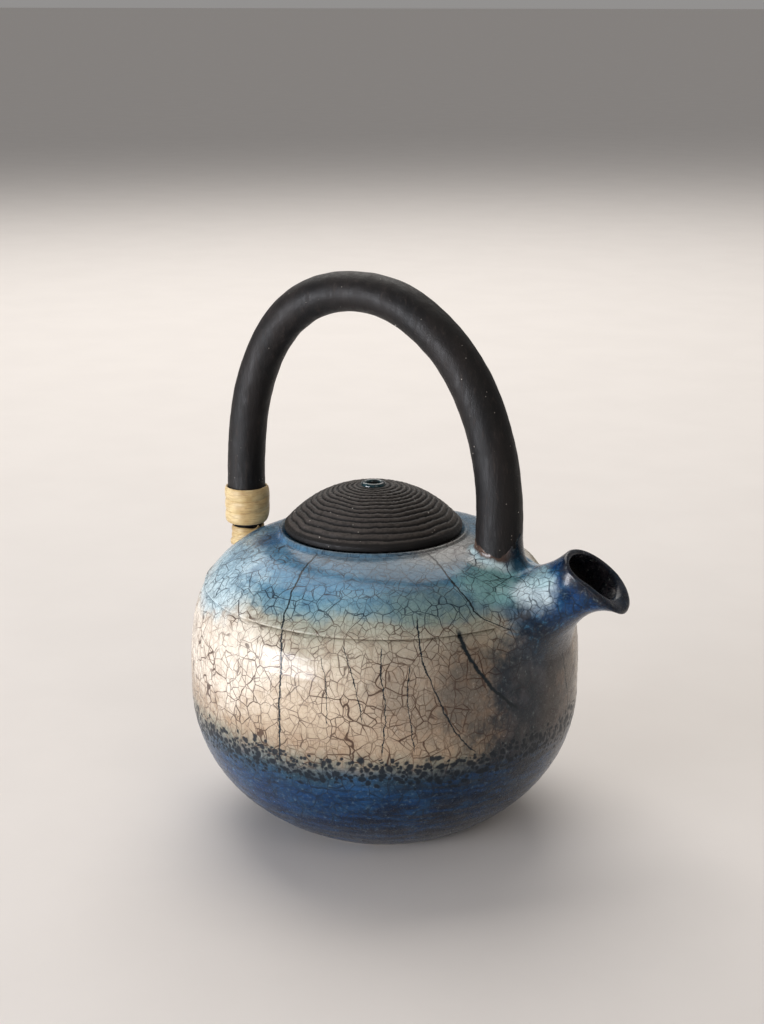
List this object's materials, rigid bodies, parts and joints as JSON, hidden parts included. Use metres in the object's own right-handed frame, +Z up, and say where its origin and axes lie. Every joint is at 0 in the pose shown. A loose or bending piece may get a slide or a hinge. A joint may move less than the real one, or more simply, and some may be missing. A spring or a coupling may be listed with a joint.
{
  "type": "overhead-handle teapot",
  "caption": "Round thrown teapot with a crackle glaze, ribbed lift-off lid, flared spout and an arched black handle lashed with cane.",
  "frame": {"origin": "middle of the foot, on the surface that the teapot stands on", "axes": "+X towards the spout, +Y to the left of someone pouring, +Z up"},
  "size_m": [0.1725, 0.15, 0.2122],
  "materials": {
    "crackle_glaze": "glossy crackle glaze, sky blue over cream over cobalt",
    "bare_clay": "unglazed stoneware",
    "smoked_clay": "satin, smoked black",
    "cane": "split cane, satin",
    "vent_glaze": "glossy dark teal glaze"
  },
  "bodies": {
    "pot": {"pot_bowl": "crackle_glaze", "pot_shoulder": "crackle_glaze", "spout": "crackle_glaze", "strainer": "bare_clay", "handle_collar": "crackle_glaze", "rear_post": "smoked_clay", "handle": "smoked_clay", "cane_upper_lashing": "cane", "cane_lower_lashing": "cane"},
    "lid": {"lid_dome": "smoked_clay", "lid_flange": "smoked_clay", "vent_ring": "vent_glaze"}
  },
  "joints": [
    {"name": "lid_lift", "type": "slide", "parent": "pot", "child": "lid", "axis": [0, 0, 1], "range_m": [0, 0.05]}
  ]
}
